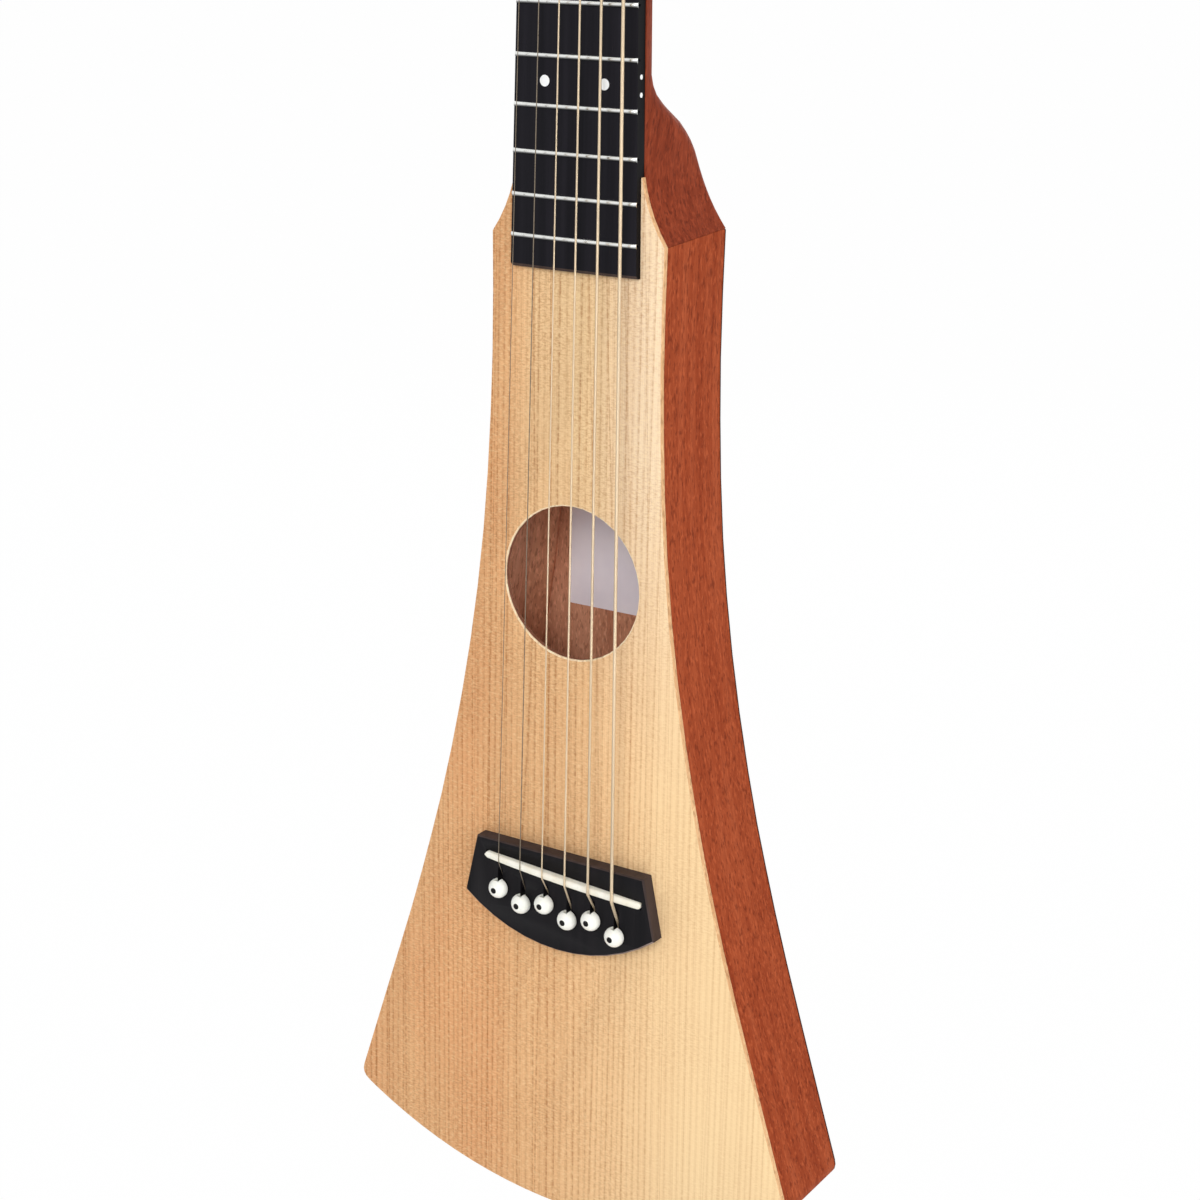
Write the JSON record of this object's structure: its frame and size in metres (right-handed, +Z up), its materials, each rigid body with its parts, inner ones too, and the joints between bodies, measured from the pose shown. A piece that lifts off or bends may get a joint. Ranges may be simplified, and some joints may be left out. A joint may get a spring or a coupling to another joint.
{
  "type": "travel guitar",
  "caption": "Small flat-top acoustic guitar with a slim flared body, round sound hole, fretted neck, slanted saddle, pinned strings and open worm-geared tuning machines that turn.",
  "frame": {"origin": "on the glue plane between fingerboard and neck, under the headstock's shoulders, where the yoke of a wall hanger holds the guitar", "axes": "+Z up along the neck towards the headstock, -Y out of the front (top plate, strings), +X to the right of someone who faces the front"},
  "size_m": [0.2122, 0.0575, 0.8935],
  "materials": {
    "spruce": "satin",
    "mahogany": "satin",
    "cedar": "matte",
    "black_wood": "satin",
    "ivory": "gloss",
    "nickel": "polished",
    "steel": "satin",
    "bronze": "satin"
  },
  "bodies": {
    "guitar": {"top_plate": "spruce", "back_plate": "mahogany", "side_right": "mahogany", "side_left": "mahogany", "lining_front_right": "cedar", "lining_front_left": "cedar", "lining_back_right": "cedar", "lining_back_left": "cedar", "tail_block": "mahogany", "upper_brace": "spruce", "lower_brace": "spruce", "neck": "mahogany", "fingerboard": "black_wood", "fret_1": "nickel", "fret_2": "nickel", "fret_3": "nickel", "fret_4": "nickel", "fret_5": "nickel", "fret_6": "nickel", "fret_7": "nickel", "fret_8": "nickel", "fret_9": "nickel", "fret_10": "nickel", "fret_11": "nickel", "fret_12": "nickel", "fret_13": "nickel", "fret_14": "nickel", "fret_15": "nickel", "nut": "ivory", "bridge": "black_wood", "bridge_plate": "mahogany", "saddle": "ivory", "bridge_pin_1": "ivory", "bridge_pin_2": "ivory", "bridge_pin_3": "ivory", "bridge_pin_4": "ivory", "bridge_pin_5": "ivory", "bridge_pin_6": "ivory", "tuner_plate_left": "nickel", "tuner_plate_right": "nickel", "string_1": "steel", "string_2": "steel", "string_3": "bronze", "string_4": "bronze", "string_5": "bronze", "string_6": "bronze", "strap_button": "black_wood"},
    "button_1": {"tuning_button_1": "nickel"},
    "button_2": {"tuning_button_2": "nickel"},
    "button_3": {"tuning_button_3": "nickel"},
    "button_4": {"tuning_button_4": "nickel"},
    "button_5": {"tuning_button_5": "nickel"},
    "button_6": {"tuning_button_6": "nickel"},
    "post_1": {"string_post_1": "nickel"},
    "post_2": {"string_post_2": "nickel"},
    "post_3": {"string_post_3": "nickel"},
    "post_4": {"string_post_4": "nickel"},
    "post_5": {"string_post_5": "nickel"},
    "post_6": {"string_post_6": "nickel"}
  },
  "joints": [
    {"name": "button_1_turn", "type": "hinge", "parent": "guitar", "child": "button_1", "pos_m": [-0.0195, 0.02593, 0.01918], "axis": [1, 0, 0], "continuous": true},
    {"name": "button_2_turn", "type": "hinge", "parent": "guitar", "child": "button_2", "pos_m": [-0.0195, 0.03299, 0.05244], "axis": [1, 0, 0], "continuous": true},
    {"name": "button_3_turn", "type": "hinge", "parent": "guitar", "child": "button_3", "pos_m": [-0.0195, 0.04006, 0.08569], "axis": [1, 0, 0], "continuous": true},
    {"name": "button_4_turn", "type": "hinge", "parent": "guitar", "child": "button_4", "pos_m": [0.0195, 0.04006, 0.08569], "axis": [1, 0, 0], "continuous": true},
    {"name": "button_5_turn", "type": "hinge", "parent": "guitar", "child": "button_5", "pos_m": [0.0195, 0.03299, 0.05244], "axis": [1, 0, 0], "continuous": true},
    {"name": "button_6_turn", "type": "hinge", "parent": "guitar", "child": "button_6", "pos_m": [0.0195, 0.02593, 0.01918], "axis": [1, 0, 0], "continuous": true},
    {"name": "post_1_turn", "type": "hinge", "parent": "guitar", "child": "post_1", "pos_m": [-0.0195, 0.02427, 0.0114], "axis": [0, 0.9781, -0.2079], "continuous": true},
    {"name": "post_2_turn", "type": "hinge", "parent": "guitar", "child": "post_2", "pos_m": [-0.0195, 0.03134, 0.04466], "axis": [0, 0.9781, -0.2079], "continuous": true},
    {"name": "post_3_turn", "type": "hinge", "parent": "guitar", "child": "post_3", "pos_m": [-0.0195, 0.03841, 0.07791], "axis": [0, 0.9781, -0.2079], "continuous": true},
    {"name": "post_4_turn", "type": "hinge", "parent": "guitar", "child": "post_4", "pos_m": [0.0195, 0.03841, 0.07791], "axis": [0, 0.9781, -0.2079], "continuous": true},
    {"name": "post_5_turn", "type": "hinge", "parent": "guitar", "child": "post_5", "pos_m": [0.0195, 0.03134, 0.04466], "axis": [0, 0.9781, -0.2079], "continuous": true},
    {"name": "post_6_turn", "type": "hinge", "parent": "guitar", "child": "post_6", "pos_m": [0.0195, 0.02427, 0.0114], "axis": [0, 0.9781, -0.2079], "continuous": true}
  ],
  "couplings": [
    {"joint": "post_1_turn", "follows": "button_1_turn", "ratio": -0.071429},
    {"joint": "post_2_turn", "follows": "button_2_turn", "ratio": -0.071429},
    {"joint": "post_3_turn", "follows": "button_3_turn", "ratio": -0.071429},
    {"joint": "post_4_turn", "follows": "button_4_turn", "ratio": -0.071429},
    {"joint": "post_5_turn", "follows": "button_5_turn", "ratio": -0.071429},
    {"joint": "post_6_turn", "follows": "button_6_turn", "ratio": -0.071429}
  ]
}
